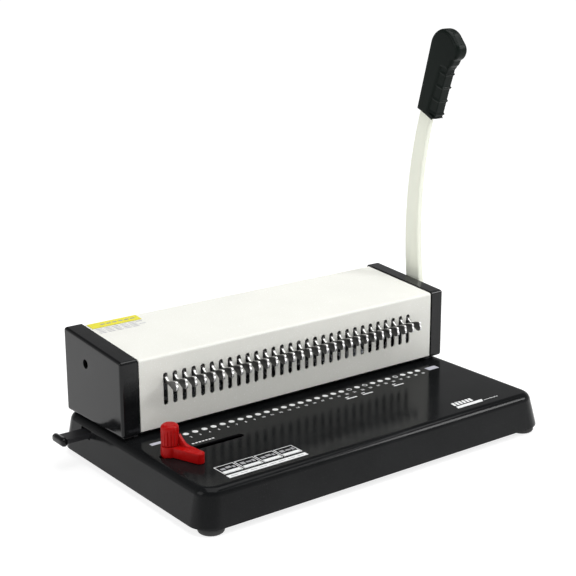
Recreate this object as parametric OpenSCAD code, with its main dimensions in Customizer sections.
// Comb binding machine: manual punch and comb opener driven by one side handle.
// Millimetres. +Z up, -Y is the front where paper goes in, +X is the handle side.
// Machine positions are measured from the middle of the slot row (x), the front
// face of the cover (y) and the floor (z), then moved so the origin is the middle
// of the whole object's footprint on the floor.

/* [Base] */
// Width of the base at its lower edge
base_w = 380.4; // [340:0.1:420]
// Lower front edge of the base, in front of the cover
base_front = 133.3; // [110:0.1:160]
// Lower back edge of the base, behind the cover's front face
base_back = 102; // [96:0.1:125]
// Height of the pressed base tray
base_h = 30.8; // [24:0.1:45]
// How far each wall leans inwards from bottom to top
base_draft = 5.4; // [0:0.1:8]
// How far the back wall leans inwards
back_draft = 2; // [0:0.1:8]
// Plan radius of the base corners
base_r = 20; // [12:0.5:30]
// Radius of the rolled top edge
base_fillet = 8; // [3:0.5:12]
// Sheet thickness of the base
base_t = 1.6; // [1:0.1:2.5]
// Height of the rubber feet
foot_h = 6; // [3:0.5:12]
// Diameter of the rubber feet
foot_d = 22; // [14:1:30]

/* [Upper unit] */
// Outer width over both end caps
unit_w = 364.4; // [340:0.1:380]
// Thickness of the left end cap
cap_l_t = 17.8; // [12:0.1:24]
// Thickness of the right end cap
cap_r_t = 15.4; // [12:0.1:24]
// Depth of the end caps, front to back
cap_depth = 98.6; // [80:0.1:120]
// Height of the end cap's front edge above the floor
cap_front_z = 107; // [95:0.5:125]
// Height of the end cap's back edge above the floor
cap_back_z = 115; // [95:0.5:135]
// Wall thickness of the moulded end caps
cap_wall = 2.2; // [1.5:0.1:4]
// Height of the cover's lower front edge above the floor
cover_foot_z = 41.8; // [39:0.1:48]
// Sheet thickness of the cover
cover_t = 1.2; // [0.8:0.1:2]

/* [Hook row] */
// Pitch of the rings, slots, hooks and punches
pitch = 9.5; // [8:0.1:15]
// Number of rings
rings = 30; // [20:1:34]
// Width of the slots in the cover
slot_w = 4.3; // [3.5:0.1:6]
// Lower end of the slots above the floor
slot_low = 60.5; // [55:0.5:70]
// Upper end of the slots above the floor
slot_high = 90; // [80:0.5:98]
// Thickness of a hook
hook_t = 2; // [1.2:0.1:3]
// How far a hook stands out of the cover
hook_reach = 19; // [12:0.5:26]
// How far the hooks travel down
open_travel = 16; // [8:0.5:18]

/* [Punch] */
// Width of one punch along the row
punch_w = 5; // [3:0.1:7]
// Depth of one punch
punch_d = 3; // [2:0.1:4]
// How far the punches travel down
punch_travel = 8.4; // [6:0.1:10]
// Clear height of the paper throat
throat_h = 4.4; // [3:0.1:6]
// Handle swing that gives the full travel, degrees
swing = 65; // [45:1:90]
// Diameter of the main shaft
shaft_d = 14; // [10:0.5:20]
// Height of the main shaft above the floor
shaft_z = 82; // [78:0.5:86]

/* [Handle] */
// Radius that the handle arm is bent to
arm_bend = 417; // [300:1:900]
// Thickness of the flat handle arm
arm_t = 6; // [4:0.5:10]
// Width of the arm near the hub
arm_w_low = 20.2; // [12:0.5:26]
// Width of the arm where it enters the grip
arm_w_high = 15.2; // [10:0.5:22]
// Thickness of the moulded grip
grip_t = 14; // [12:0.5:24]
// Depth of the moulded grip, front to back
grip_w = 26.6; // [20:0.5:34]
// Height of the middle of the grip's crown above the floor
nose_z = 342; // [300:1:380]
// Radius of the grip's crown
nose_r = 17.5; // [14:0.5:24]

/* [Edge guide and depth control] */
// Width of the guide slot in the base
guide_slot_w = 7.5; // [5:0.1:10]
// Travel of the edge guide
guide_travel = 62; // [30:1:66]
// Diameter of the clamp knob
knob_d = 15; // [12:0.5:24]
// Height of the clamp knob
knob_h = 17.9; // [10:0.5:26]
// Travel of the depth bar
depth_travel = 12; // [6:0.5:16]

/* [Hidden] */
$fn = 48;
soft = 0.3;
run = 0.05;
base_z = foot_h;
deck = base_z + base_h;
tee_x = -213;
bolt_x = 198;
origin_x = (tee_x + bolt_x) / 2;
origin_y = (base_back - base_front) / 2;
mid_x = 0.6;
unit_l = mid_x - unit_w / 2;
unit_r = mid_x + unit_w / 2;
base_l = mid_x - base_w / 2;
cover_l = unit_l + cap_l_t;
cover_r = unit_r - cap_r_t;
cap_y = -0.6;
cap_slope = (cap_back_z - cap_front_z) / cap_depth;
cover_back = 96;
cover_top = cap_front_z - 1;
plate_t = 4;
side_l = cover_l - plate_t;
side_r = cover_r;
die_low = deck - 7.4;
die_back = 69.7;
guide_z = deck + throat_h;
guide_t = 6;
guide_back = 50;
pin_y = 34;
shaft_y = 43.8;
cam_rest = 12;
cam_a = punch_travel / (swing * PI / 180);
cam_phi = cam_rest / cam_a;
bar_top = shaft_z - cam_rest - soft;
bar_h = 12;
bar_low = bar_top - bar_h;
post_xl = cover_l + 7.3;
post_xr = cover_r - 7.4;
seat_z = guide_z + 2;
rod_y = 16;
rod_xl = cover_l + 11.8;
rod_xr = cover_r - 13.4;
crank_r = open_travel / (2 * sin(swing / 2));
crank_y = shaft_y - crank_r * cos(swing / 2);
crank_z = shaft_z + crank_r * sin(swing / 2);
hook_low = slot_high - 12;
foot_xl = -174;
foot_xr = 172.5;
foot_yf = -121;
foot_yb = base_back - 12;
guide_x = -163.6;
guide_y = -46.5;
knob_z = deck + 9.6;
depth_y = 59.5;
depth_z = die_low - 4.6;
depth_bar_h = 4.2;
tee_t = 6.2;
stop_y = 40;

row_w = rings * pitch;
function slot_x(k) = (k - (rings - 1) / 2) * pitch;

module in_frame() {
    translate([-origin_x, -origin_y, 0])
        children();
}

// Draws a y-z outline and gives it a thickness along +X from x0.
module across(x0, t) {
    translate([x0, 0, 0])
        rotate([90, 0, 90])
            linear_extrude(t)
                children();
}

// A round bar along +X.
module bar_x(x0, x1, y, z, r) {
    translate([x0, y, z])
        rotate([0, 90, 0])
            cylinder(h = x1 - x0, r = r);
}

// A block between two corners.
module block(a, b) {
    translate(a)
        cube([b[0] - a[0], b[1] - a[1], b[2] - a[2]]);
}

// A vertical round-ended slot between two plan points.
module long_hole(a, b, r, z0, z1) {
    d = b - a;
    translate([a[0], a[1], z0])
        cylinder(h = z1 - z0, r = r);
    translate([b[0], b[1], z0])
        cylinder(h = z1 - z0, r = r);
    translate([a[0], a[1], z0])
        rotate([0, 0, atan2(d[1], d[0])])
            translate([0, 0.04 - r, 0])
                cube([norm(d), 2 * r - 0.08, z1 - z0]);
}

// Rolled tray body: leaning walls, round corners and a rolled top edge.
module tray_body(inset) {
    r = base_r - inset;
    rt = base_r - 4 - inset;
    f = base_fillet - inset;
    xb = base_w / 2 - inset - r;
    xt = base_w / 2 - base_draft - inset - rt;
    z0 = base_z - (inset > 0 ? 0.5 : 0);
    hull() {
        for (x = [-xb, xb], y = [-base_front + inset + r, base_back - inset - r])
            translate([mid_x + x, y, z0])
                cylinder(h = 1, r = r, $fn = 32);
        for (x = [-xt, xt], y = [-base_front + base_draft + inset + rt,
                                 base_back - back_draft - inset - rt])
            translate([mid_x + x, y, deck - inset - f])
                rotate_extrude($fn = 32)
                    union() {
                        square([rt - f, f]);
                        translate([rt - f, 0])
                            intersection() {
                                circle(r = f, $fn = 32);
                                square([f, f]);
                            }
                    }
    }
}

module base_shell() {
    color([0.05, 0.05, 0.055])
        in_frame()
            difference() {
                tray_body(0);
                tray_body(base_t);
                // window for the die plate
                block([cover_l + 5, 8, deck - 4],
                    [cover_r - 5, die_back + soft, deck + 1]);
                // slot that the edge guide runs in
                long_hole([guide_x - 6.5, guide_y], [guide_x + guide_travel + 7.3, guide_y],
                    guide_slot_w / 2, deck - 4, deck + 1);
                // opening for the depth bar in the left wall
                block([base_l - 1, depth_y - 8.6, depth_z - 1.4],
                    [base_l + 9, depth_y + 8.6, depth_z + 6.4]);
                // opening for the chip tray in the back wall
                block([-151.5, base_back - 10, base_z + 2.6],
                    [151.5, base_back + 1, base_z + 17]);
            }
}

module base_pan() {
    color([0.12, 0.12, 0.13])
        in_frame()
            difference() {
                translate([0, 0, base_z + 0.8])
                    linear_extrude(height = 1.2)
                        square_round(base_w - 2 * base_t - 1.2, -base_front + base_t + 0.6,
                            base_back - base_t - 0.6, base_r - base_t - 0.6);
                for (p = foot_spots())
                    translate([p[0], p[1], 0])
                        cylinder(h = 20, r = 2.6);
            }
}

module square_round(w, y0, y1, r) {
    translate([mid_x - w / 2 + r, y0])
        square([w - 2 * r, y1 - y0]);
    translate([mid_x - w / 2, y0 + r])
        square([w, y1 - y0 - 2 * r]);
    for (x = [-w / 2 + r, w / 2 - r], y = [y0 + r, y1 - r])
        translate([mid_x + x, y])
            circle(r = r);
}

function foot_spots() = [for (x = [foot_xl, foot_xr], y = [foot_yf, foot_yb]) [x, y]];

module foot_at(x, y) {
    color([0.03, 0.03, 0.03])
        in_frame()
            translate([x, y, 0])
                difference() {
                    rotate_extrude()
                        union() {
                            translate([0, 2.2])
                                square([foot_d / 2, foot_h - 2.2]);
                            polygon([[0, 0], [foot_d * 0.34, 0], [foot_d * 0.43, 0.7],
                                [foot_d / 2, 2.2], [0, 2.2]]);
                        }
                    translate([0, 0, -1])
                        cylinder(h = 3.5, r = 3.4);
                    cylinder(h = foot_h + 1, r = 1.8);
                }
}

module foot_fl() {
    foot_at(foot_xl, foot_yf);
}

module foot_fr() {
    foot_at(foot_xr, foot_yf);
}

module foot_bl() {
    foot_at(foot_xl, foot_yb);
}

module foot_br() {
    foot_at(foot_xr, foot_yb);
}

// Lower tool plate; its raised land fills the window flush with the deck.
module die_plate() {
    color([0.45, 0.46, 0.48])
        in_frame()
            difference() {
                union() {
                    block([cover_l + 5 + soft, 8 + soft, die_low],
                        [cover_r - 5 - soft, die_back, deck]);
                    block([cover_l + 1, 4, die_low],
                        [cover_r - 1, die_back + 4, deck - base_t]);
                }
                for (k = [0 : rings - 1])
                    translate([slot_x(k) - punch_w / 2 - soft, pin_y - punch_d / 2 - soft, die_low - 1])
                        cube([punch_w + 2 * soft, punch_d + 2 * soft, 20]);
                for (x = [-100, 60])
                    long_hole([x, depth_y - 0.2], [x, depth_y + depth_travel / 4 + 0.2],
                        3.4, die_low - 1, deck + 1);
            }
}

module throat_spacer_l() {
    color([0.4, 0.41, 0.43])
        in_frame()
            block([cover_l + 0.3, 14, deck], [cover_l + 11, guide_back, guide_z]);
}

module throat_spacer_r() {
    color([0.4, 0.41, 0.43])
        in_frame()
            block([cover_r - 11, 14, deck], [cover_r - 0.3, guide_back, guide_z]);
}

// Upper tool plate; guides the punches and strips the paper off them.
module guide_plate() {
    color([0.42, 0.43, 0.45])
        in_frame()
            difference() {
                across(cover_l + 0.3, cover_r - cover_l - 0.6)
                    polygon([[12, guide_z], [guide_back, guide_z], [guide_back, guide_z + guide_t],
                        [9, guide_z + guide_t], [9, guide_z + 2.4]]);
                for (k = [0 : rings - 1])
                    translate([slot_x(k) - punch_w / 2 - soft, pin_y - punch_d / 2 - soft, guide_z - 1])
                        cube([punch_w + 2 * soft, punch_d + 2 * soft, guide_t + 2]);
                for (x = [post_xl, post_xr])
                    translate([x, pin_y, seat_z])
                        cylinder(h = guide_t, r = 5.5);
                for (x = [-128, 128])
                    translate([x, 17, guide_z + 1.5])
                        cylinder(h = guide_t, r = 3.2);
            }
}

module guide_bolts() {
    color([0.75, 0.76, 0.78])
        in_frame()
            for (x = [-128, 128])
                translate([x, 17, 0]) {
                    translate([0, 0, guide_z + 1.6])
                        cylinder(h = 16.4, r = 3);
                    translate([0, 0, guide_z + guide_t])
                        cylinder(h = 6, r = 5.6, $fn = 6);
                }
}

module side_plate(x0, foot_x0, foot_x1) {
    color([0.3, 0.31, 0.33])
        in_frame()
            difference() {
                union() {
                    across(x0, plate_t)
                        polygon([[5, deck], [91, deck], [91, 96], [84, 104], [12, 101], [5, 94]]);
                    block([foot_x0, 6, deck], [foot_x1, 90, deck + 3]);
                }
                bar_x(x0 - 1, x0 + plate_t + 1, shaft_y, shaft_z, 10.05);
                for (y = [22, 76])
                    translate([(foot_x0 + foot_x1) / 2, y, deck - 1])
                        cylinder(h = 6, r = 2.2);
            }
}

module side_plate_l() {
    side_plate(side_l, side_l - 9, side_l + plate_t);
}

module side_plate_r() {
    side_plate(side_r, side_r, side_r + plate_t + 6);
}

module bush(x0) {
    color([0.72, 0.55, 0.28])
        in_frame()
            difference() {
                union() {
                    bar_x(x0, x0 + plate_t + 1.6, shaft_y, shaft_z, 10);
                    bar_x(x0 + plate_t + 0.1, x0 + plate_t + 1.6, shaft_y, shaft_z, 12);
                }
                bar_x(x0 - 1, x0 + plate_t + 3, shaft_y, shaft_z, shaft_d / 2 + run);
            }
}

module bush_l() {
    bush(side_l);
}

module bush_r() {
    bush(side_r);
}

module front_tie_bar() {
    color([0.3, 0.31, 0.33])
        in_frame()
            block([cover_l + 0.05, 10, 100], [cover_r - 0.05, 23, 103.5]);
}

module tie_rod_low() {
    color([0.6, 0.61, 0.63])
        in_frame()
            bar_x(cover_l + 0.05, cover_r - 0.05, 80, 50, 5);
}

module tie_rod_high() {
    color([0.6, 0.61, 0.63])
        in_frame()
            bar_x(cover_l + 0.05, cover_r - 0.05, 80, 94, 5);
}

// Outer y-z outline of the sheet cover, smaller by inset.
module cover_outline(inset) {
    zt = cover_top - inset;
    zb = cover_top + (cover_back - 3) * cap_slope - inset;
    polygon([[inset, -10], [inset, zt - 2.4], [inset + 0.7, zt - 0.7], [inset + 2.4, zt],
        [cover_back - inset - 2.4, zb], [cover_back - inset - 0.7, zb - 0.6],
        [cover_back - inset, zb - 2.4], [cover_back - inset, -10]]);
}

module cover_shell() {
    color([0.93, 0.92, 0.88])
        in_frame()
            difference() {
                across(cover_l + 0.3, cover_r - cover_l - 0.6)
                    cover_outline(0);
                across(cover_l - 1, cover_r - cover_l + 2)
                    cover_outline(cover_t);
                block([cover_l - 1, -1, -20], [cover_r + 1, cover_back + 1, cover_foot_z]);
                for (k = [0 : rings - 1])
                    translate([slot_x(k), -1, 0]) {
                        for (z = [slot_low + slot_w / 2, slot_high - slot_w / 2])
                            translate([0, 0, z])
                                rotate([-90, 0, 0])
                                    cylinder(h = 4, r = slot_w / 2, $fn = 24);
                        translate([-slot_w / 2, 0, slot_low + slot_w / 2])
                            cube([slot_w, 4, slot_high - slot_low - slot_w]);
                    }
            }
}

// Moulded end cap: a shallow box with soft outer edges, open towards the cover.
module cap(x_out, x_in, bore_y, bore_z, bore_r) {
    s = x_out < x_in ? 1 : -1;
    z0 = deck + 3;
    z1 = deck + 0.4;
    yb = cap_y + cap_depth;
    x_low = min(x_out, x_in);
    x_mid = min(x_out + s * cap_wall, x_in + s);
    x_wide = abs(x_in + s - x_out - s * cap_wall);
    difference() {
        hull() {
            for (p = [[cap_y, z0, 1, 1], [cap_y, cap_front_z, 1, -1],
                      [yb, cap_back_z, -1, -1], [yb, z1, -1, 1]]) {
                translate([x_out + s * 2, p[0] + p[2] * 3, p[1] + p[3] * 3])
                    rotate([0, -s * 90, 0])
                        rotate_extrude($fn = 24)
                            union() {
                                square([1, 2]);
                                translate([1, 0])
                                    intersection() {
                                        circle(r = 2, $fn = 24);
                                        square([2, 2]);
                                    }
                            }
                translate([min(x_in, x_in - s), p[0] + p[2] * 3, p[1] + p[3] * 3])
                    rotate([0, 90, 0])
                        cylinder(h = 1, r = 3, $fn = 24);
            }
        }
        across(x_mid, x_wide)
            polygon([[cap_y + cap_wall, 0], [cap_y + cap_wall, cap_front_z - cap_wall],
                [yb - cap_wall, cap_back_z - cap_wall - 0.2], [yb - cap_wall, 0]]);
        bar_x(x_low - 1, x_low + 30, bore_y, bore_z, bore_r);
    }
}

module cap_l() {
    color([0.05, 0.05, 0.055])
        in_frame()
            cap(unit_l, cover_l, 60, 90.2, 4.2);
}

module cap_r() {
    color([0.05, 0.05, 0.055])
        in_frame()
            cap(unit_r, cover_r, shaft_y, shaft_z, 13);
}

// Screw at the bottom of the left cap's hole.
module cap_screw() {
    color([0.2, 0.2, 0.21])
        in_frame()
            difference() {
                bar_x(side_l - 7, side_l, 60, 90.2, 3.9);
                bar_x(side_l - 8, side_l - 4, 60, 90.2, 1.8);
            }
}

module spring_post_l() {
    color([0.7, 0.71, 0.73])
        in_frame()
            translate([post_xl, pin_y, seat_z])
                cylinder(h = 36, r = 3);
}

module spring_post_r() {
    color([0.7, 0.71, 0.73])
        in_frame()
            translate([post_xr, pin_y, seat_z])
                cylinder(h = 36, r = 3);
}

module opener_rod(x) {
    color([0.7, 0.71, 0.73])
        in_frame()
            translate([x, rod_y, guide_z + guide_t])
                cylinder(h = 100 - guide_z - guide_t, r = 3);
}

module opener_rod_l() {
    opener_rod(rod_xl);
}

module opener_rod_r() {
    opener_rod(rod_xr);
}

// Strap that carries the depth bar under the die plate.
module depth_keeper(x) {
    color([0.35, 0.36, 0.38])
        in_frame()
            difference() {
                block([x, depth_y - 11, depth_z - 2], [x + 12, depth_y + 11, die_low]);
                block([x - 1, depth_y - 7.8, depth_z - 0.3], [x + 13, depth_y + 7.8, die_low + 1]);
            }
}

module depth_keeper_a() {
    depth_keeper(-142);
}

module depth_keeper_b() {
    depth_keeper(78);
}

// Square-wire return spring, wound round a post.
module return_spring(x) {
    color([0.78, 0.79, 0.8])
        in_frame()
            translate([x, pin_y, seat_z + 0.05])
                linear_extrude(height = bar_low + 4 - seat_z - 0.15, twist = -360 * 5.5, slices = 66)
                    polygon([for (a = [0 : 30 : 120]) [4.9 * cos(a), 4.9 * sin(a)],
                        for (a = [120 : -30 : 0]) [3.7 * cos(a), 3.7 * sin(a)]]);
}

module spring_l() {
    return_spring(post_xl);
}

module spring_r() {
    return_spring(post_xr);
}

module main_shaft() {
    color([0.62, 0.63, 0.65])
        in_frame()
            difference() {
                bar_x(side_l - 5, bolt_x - 5.6, shaft_y, shaft_z, shaft_d / 2);
                bar_x(bolt_x - 22, bolt_x, shaft_y, shaft_z, 3.1);
            }
}

module shaft_ring() {
    color([0.5, 0.51, 0.53])
        in_frame()
            difference() {
                bar_x(side_l - 4, side_l - 0.4, shaft_y, shaft_z, 11);
                bar_x(side_l - 5, side_l, shaft_y, shaft_z, shaft_d / 2 + 0.02);
            }
}

function arm_line(z) = 50.2 + sqrt(arm_bend * arm_bend - (z - 161) * (z - 161)) - arm_bend;
function arm_lean(z) = asin((z - 161) / arm_bend);
function arm_half(z) = (arm_w_low + (arm_w_high - arm_w_low) * (z - shaft_z) / 200) / 2;
function edge(z, w) = [arm_line(z) + w * cos(arm_lean(z)), z + w * sin(arm_lean(z))];

// Points along both edges of the bent arm or grip between two heights.
function strip(z0, z1, n, w0, w1) = concat(
    [for (i = [0 : n]) edge(z0 + (z1 - z0) * i / n, w0 + (w1 - w0) * i / n)],
    [for (i = [n : -1 : 0]) edge(z0 + (z1 - z0) * i / n, -w0 - (w1 - w0) * i / n)]);

arm_x = 185;
hub_x = unit_r + 0.8;
hub_end = bolt_x - 5.6;

module handle_arm() {
    color([0.88, 0.89, 0.8])
        in_frame()
            difference() {
                union() {
                    across(arm_x, arm_t)
                        polygon(strip(shaft_z, 300, 24, arm_half(shaft_z), arm_half(300)));
                    bar_x(hub_x, hub_end, shaft_y, shaft_z, 15);
                }
                bar_x(hub_x - 1, hub_end + 1, shaft_y, shaft_z, shaft_d / 2 + 0.02);
            }
}

grip_x = arm_x + arm_t / 2 - grip_t / 2;
grip_low = [30.4, nose_z - 65];
grip_high = [13.3, nose_z - 11];
grip_dir = (grip_high - grip_low) / norm(grip_high - grip_low);

// A point on the grip: t runs from its lower end to the nose, w is across it.
function grip_at(t, w) = grip_low + t * (grip_high - grip_low) + w * [grip_dir[1], -grip_dir[0]];

// Side view of the grip: straight body, finger grooves and a hooked nose.
module grip_outline() {
    crown = [8.6, nose_z];
    nose = [-2.6, nose_z - 1.5];
    beak_r = 10;
    difference() {
        union() {
            polygon([grip_at(0, grip_w / 2 - 1.5), grip_at(0.02, grip_w / 2), grip_at(1.06, grip_w / 2 + 1.2),
                crown, grip_at(1, -grip_w / 2), grip_at(0.02, -grip_w / 2),
                grip_at(0, -grip_w / 2 + 1.5)]);
            translate(crown)
                circle(r = nose_r, $fn = 64);
            translate(nose)
                circle(r = beak_r, $fn = 64);
            polygon([crown, crown + (nose_r - 0.1) * [cos(128), sin(128)],
                nose + (beak_r - 0.1) * [cos(134), sin(134)], nose]);
            polygon([crown, nose, nose + (beak_r - 0.1) * [cos(255), sin(255)],
                grip_at(0.97, -grip_w / 2 - 1.6), grip_at(0.86, 0.5 - grip_w / 2), grip_at(0.86, 0)]);
        }
        for (i = [0 : 3])
            translate(grip_at(0.12 + 0.23 * i, -grip_w / 2 - 7.6))
                circle(r = 9, $fn = 48);
    }
}

module handle_grip() {
    color([0.04, 0.04, 0.045])
        in_frame()
            difference() {
                across(grip_x, grip_t)
                    grip_outline();
                across(arm_x - 0.02, arm_t + 0.04)
                    polygon(strip(260, 300.3, 12, arm_half(260) + 0.3, arm_half(300) + 0.3));
            }
}

module handle_bolt() {
    color([0.2, 0.2, 0.21])
        in_frame()
            difference() {
                union() {
                    bar_x(bolt_x - 18, bolt_x - 5, shaft_y, shaft_z, 3);
                    bar_x(hub_end, bolt_x, shaft_y, shaft_z, 8);
                }
                translate([bolt_x - 2.6, shaft_y, shaft_z])
                    rotate([0, 90, 0])
                        cylinder(h = 4, r = 3.4, $fn = 6);
            }
}

// Cam outline: an involute lobe, so the bar moves in step with the handle.
function lobe(phi) = [-cam_a * (cos(phi) + phi * PI / 180 * sin(phi)),
    cam_a * (sin(phi) - phi * PI / 180 * cos(phi))];
function turned(p, a) = [p[0] * cos(a) - p[1] * sin(a), p[0] * sin(a) + p[1] * cos(a)];

module cam_at(x) {
    p0 = cam_phi * 180 / PI;
    color([0.5, 0.51, 0.53])
        in_frame()
            difference() {
                union() {
                    bar_x(x - 6, x + 6, shaft_y, shaft_z, 11.4);
                    across(x - 6, 12)
                        translate([shaft_y, shaft_z])
                            polygon(concat([[0, 0]],
                                [for (i = [0 : 12]) turned(lobe(p0 + swing * i / 12), p0)]));
                }
                bar_x(x - 7, x + 7, shaft_y, shaft_z, shaft_d / 2 + 0.02);
            }
}

module cam_l() {
    cam_at(-110);
}

module cam_m() {
    cam_at(2);
}

module cam_r() {
    cam_at(114);
}

// Crank arm with a pin that moves the hook bar; s is the side its pin is on.
module crank(x, s) {
    color([0.5, 0.51, 0.53])
        in_frame() {
            difference() {
                union() {
                    bar_x(x, x + 6, shaft_y, shaft_z, 11.4);
                    bar_x(x, x + 6, crank_y, crank_z, 6);
                    across(x, 6)
                        polygon([[shaft_y + 2, shaft_z - 11.2], [shaft_y - 9.5, shaft_z - 6],
                            [crank_y - 5, crank_z - 3.5], [crank_y + 1.5, crank_z + 5.8],
                            [shaft_y + 5, shaft_z + 10.2]]);
                }
                bar_x(x - 1, x + 7, shaft_y, shaft_z, shaft_d / 2 + 0.02);
            }
            bar_x(s > 0 ? x + 5 : x - 9, s > 0 ? x + 15 : x + 1, crank_y, crank_z, 3);
        }
}

module crank_l() {
    crank(-146, 1);
}

module crank_r() {
    crank(142, -1);
}

module punch_bar() {
    color([0.48, 0.49, 0.51])
        in_frame()
            difference() {
                block([cover_l + 0.8, 25, bar_low], [cover_r - 0.8, 54, bar_top]);
                // channel that holds the punch heads
                block([-row_w / 2 - 1, pin_y - 3.3, bar_low - 1],
                    [row_w / 2 + 1, pin_y + 3.3, bar_low + 4]);
                for (x = [post_xl, post_xr])
                    translate([x, pin_y, bar_low - 1]) {
                        cylinder(h = bar_h + 2, r = 3 + run);
                        cylinder(h = 5, r = 5.5);
                    }
            }
}

module punch_pins() {
    color([0.72, 0.73, 0.75])
        in_frame() {
            block([-row_w / 2 + 1, pin_y - 3, bar_low], [row_w / 2 - 1, pin_y + 3, bar_low + 3.7]);
            for (k = [0 : rings - 1])
                translate([slot_x(k) - punch_w / 2, pin_y - punch_d / 2, guide_z + 1.2])
                    cube([punch_w, punch_d, bar_low - guide_z]);
        }
}

module opener_bar() {
    color([0.14, 0.14, 0.15])
        in_frame()
            difference() {
                block([cover_l + 5.8, 12, hook_low + 1], [cover_r - 6.4, 20, hook_low + 11]);
                for (x = [rod_xl, rod_xr])
                    translate([x, rod_y, hook_low])
                        cylinder(h = 12, r = 3 + run);
            }
}

// Side view of one comb hook: root, dipped neck and a toed head.
module hook_outline() {
    r = hook_reach;
    z = hook_low;
    polygon([[10.2, z + 0.2], [10.2, z + 10.8], [1, z + 10.8], [-4.4, z + 10.2], [-9, z + 7.2],
        [-11.2, z + 8], [-14, z + 8.6], [0.8 - r, z + 8.5], [0.1 - r, z + 7.7], [2.2 - r, z + 5.4],
        [1.9 - r, z + 3.4], [-r, z + 1.9], [0.4 - r, z + 0.4], [-14.6, z - 0.4],
        [-9.2, z + 2.2], [-4, z + 1.2], [0, z + 0.2]]);
}

// A strip of ten hooks, from number k0.
module hook_strip(k0) {
    color([0.8, 0.81, 0.83])
        in_frame() {
            block([slot_x(k0) - pitch / 2 + 0.1, 10, hook_low + 2],
                [slot_x(k0 + 9) + pitch / 2 - 0.1, 12, hook_low + 10]);
            for (k = [k0 : k0 + 9])
                across(slot_x(k) - hook_t / 2, hook_t)
                    hook_outline();
        }
}

module comb_hooks_l() {
    hook_strip(0);
}

module comb_hooks_m() {
    hook_strip(10);
}

module comb_hooks_r() {
    hook_strip(20);
}

// Fork that the crank pin works in.
module opener_fork(x) {
    color([0.35, 0.36, 0.38])
        in_frame()
            difference() {
                block([x, 20, crank_z - 6.6], [x + 4, 35.4, crank_z + 6.2]);
                block([x - 1, crank_y - 6.6, crank_z - 3.6], [x + 5, 40, crank_z + 3.6]);
            }
}

module opener_fork_l() {
    opener_fork(-137);
}

module opener_fork_r() {
    opener_fork(135);
}

tip = [8.3, -27];
collar_r = 7.9;
arm_r = 4.3;
guide_arm_z = deck + 9;

// Red guide: collar round the clamp stud, an arm to the front and a fin beside the knob.
module guide_block() {
    d = norm(tip);
    color([0.78, 0.05, 0.07])
        in_frame()
            difference() {
                union() {
                    translate([guide_x, guide_y, deck + soft])
                        cylinder(h = knob_z - deck - 0.6, r = collar_r);
                    translate([guide_x, guide_y, deck + soft])
                        rotate([0, 0, atan2(tip[1], tip[0])]) {
                            translate([0, -arm_r, 0])
                                cube([d, 2 * arm_r, guide_arm_z - deck - soft]);
                            translate([d, 0, 0])
                                cylinder(h = guide_arm_z - deck - soft, r = arm_r);
                            translate([0, arm_r + 1.2, 0])
                                rotate([90, 0, 0])
                                    linear_extrude(3)
                                        polygon([[5, 0], [24, 0], [23, 8.4], [20, 9.8],
                                            [13.8, 11.3], [9.5, 15.3], [5.6, 19.2], [5, 19.3]]);
                        }
                    block([guide_x - 6.2, guide_y - guide_slot_w / 2 + soft, deck - base_t - 0.2],
                        [guide_x + 6.2, guide_y + guide_slot_w / 2 - soft, deck + 1]);
                }
                translate([guide_x, guide_y, deck - 5])
                    cylinder(h = 40, r = 2.6);
                // room for the knob to turn
                translate([guide_x, guide_y, knob_z - soft])
                    cylinder(h = 40, r = knob_d / 2 + soft);
            }
}

// Steel plate under the deck with the stud that the knob pulls up on.
module guide_clamp_plate() {
    color([0.65, 0.66, 0.68])
        in_frame() {
            block([guide_x - 9, guide_y - 8, deck - base_t - 3.2],
                [guide_x + 9, guide_y + 8, deck - base_t - 0.2]);
            translate([guide_x, guide_y, deck - base_t - 1])
                cylinder(h = 22, r = 2.5);
        }
}

module guide_knob() {
    color([0.8, 0.05, 0.07])
        in_frame()
            translate([guide_x, guide_y, knob_z])
                difference() {
                    rotate_extrude()
                        union() {
                            square([knob_d / 2, knob_h - 2.5]);
                            square([knob_d / 2 - 2.5, knob_h]);
                            translate([knob_d / 2 - 2.5, knob_h - 2.5])
                                circle(r = 2.5, $fn = 48);
                        }
                    for (i = [0 : 15])
                        rotate([0, 0, i * 22.5])
                            translate([knob_d / 2 + 0.35, 0, -1])
                                cylinder(h = knob_h - 3.6, r = 1.05, $fn = 16);
                    translate([0, 0, -1])
                        cylinder(h = 12, r = 2.5 + run);
                }
}

// Flat bar under the die plate; its slanted slots shift the paper stop.
module depth_bar() {
    color([0.09, 0.09, 0.095])
        in_frame()
            difference() {
                block([tee_x + tee_t, depth_y - 7.5, depth_z],
                    [110, depth_y + 7.5, depth_z + depth_bar_h]);
                for (x = [-100, 60])
                    long_hole([x - 0.3, depth_y],
                        [x + depth_travel + 0.3, depth_y + depth_travel / 4],
                        2.9, depth_z - 1, depth_z + 10);
            }
}

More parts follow.
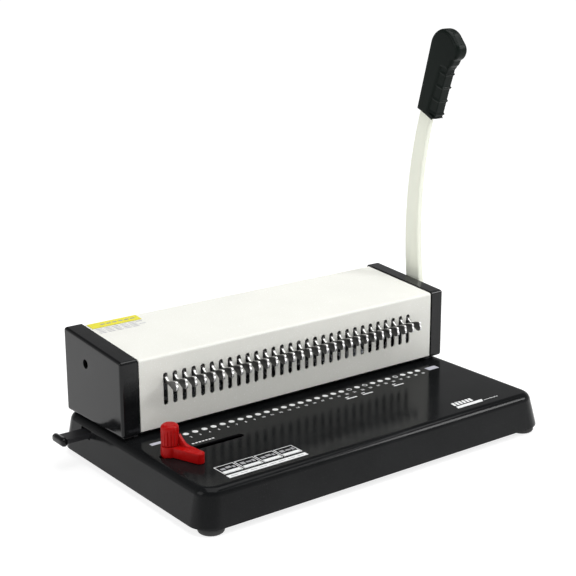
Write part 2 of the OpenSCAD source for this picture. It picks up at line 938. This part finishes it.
module depth_tee() {
    color([0.06, 0.06, 0.065])
        in_frame() {
            block([tee_x, depth_y - 7.2, depth_z - 1.6], [tee_x + tee_t, depth_y + 7.2, depth_z + 6]);
            for (y = [depth_y - 7.2, depth_y + 7.2])
                translate([tee_x + tee_t / 2, y, depth_z - 1.6])
                    cylinder(h = 7.6, r = tee_t / 2);
        }
}

// Paper stop at the back of the throat, with pins down into the depth bar.
module paper_stop() {
    color([0.5, 0.51, 0.53])
        in_frame() {
            block([-148, stop_y, deck + soft], [148, stop_y + 4, guide_z - soft]);
            for (x = [-100, 60]) {
                block([x - 6, stop_y + 3, deck + soft], [x + 6, depth_y + 5, guide_z - soft]);
                translate([x, depth_y, depth_z])
                    cylinder(h = deck + 1 - depth_z, r = 2.5);
            }
        }
}

module chip_tray() {
    color([0.1, 0.1, 0.11])
        in_frame()
            difference() {
                block([-151, 16, base_z + 3], [151, base_back - 2.6, base_z + 16.4]);
                block([-149.4, 17.6, base_z + 4.6], [149.4, base_back - 4.4, base_z + 20]);
            }
}

module tray_pull() {
    color([0.1, 0.1, 0.11])
        in_frame()
            block([-24, base_back - 2.6, base_z + 4], [24, base_back - 0.2, base_z + 9]);
}

base_shell();
base_pan();
foot_fl();
foot_fr();
foot_bl();
foot_br();
die_plate();
throat_spacer_l();
throat_spacer_r();
guide_plate();
guide_bolts();
side_plate_l();
side_plate_r();
bush_l();
bush_r();
front_tie_bar();
tie_rod_low();
tie_rod_high();
cover_shell();
cap_l();
cap_r();
cap_screw();
spring_post_l();
spring_post_r();
opener_rod_l();
opener_rod_r();
depth_keeper_a();
depth_keeper_b();
spring_l();
spring_r();
main_shaft();
shaft_ring();
handle_arm();
handle_grip();
handle_bolt();
cam_l();
cam_m();
cam_r();
crank_l();
crank_r();
punch_bar();
punch_pins();
opener_bar();
comb_hooks_l();
comb_hooks_m();
comb_hooks_r();
opener_fork_l();
opener_fork_r();
guide_block();
guide_clamp_plate();
guide_knob();
depth_bar();
depth_tee();
paper_stop();
chip_tray();
tray_pull();
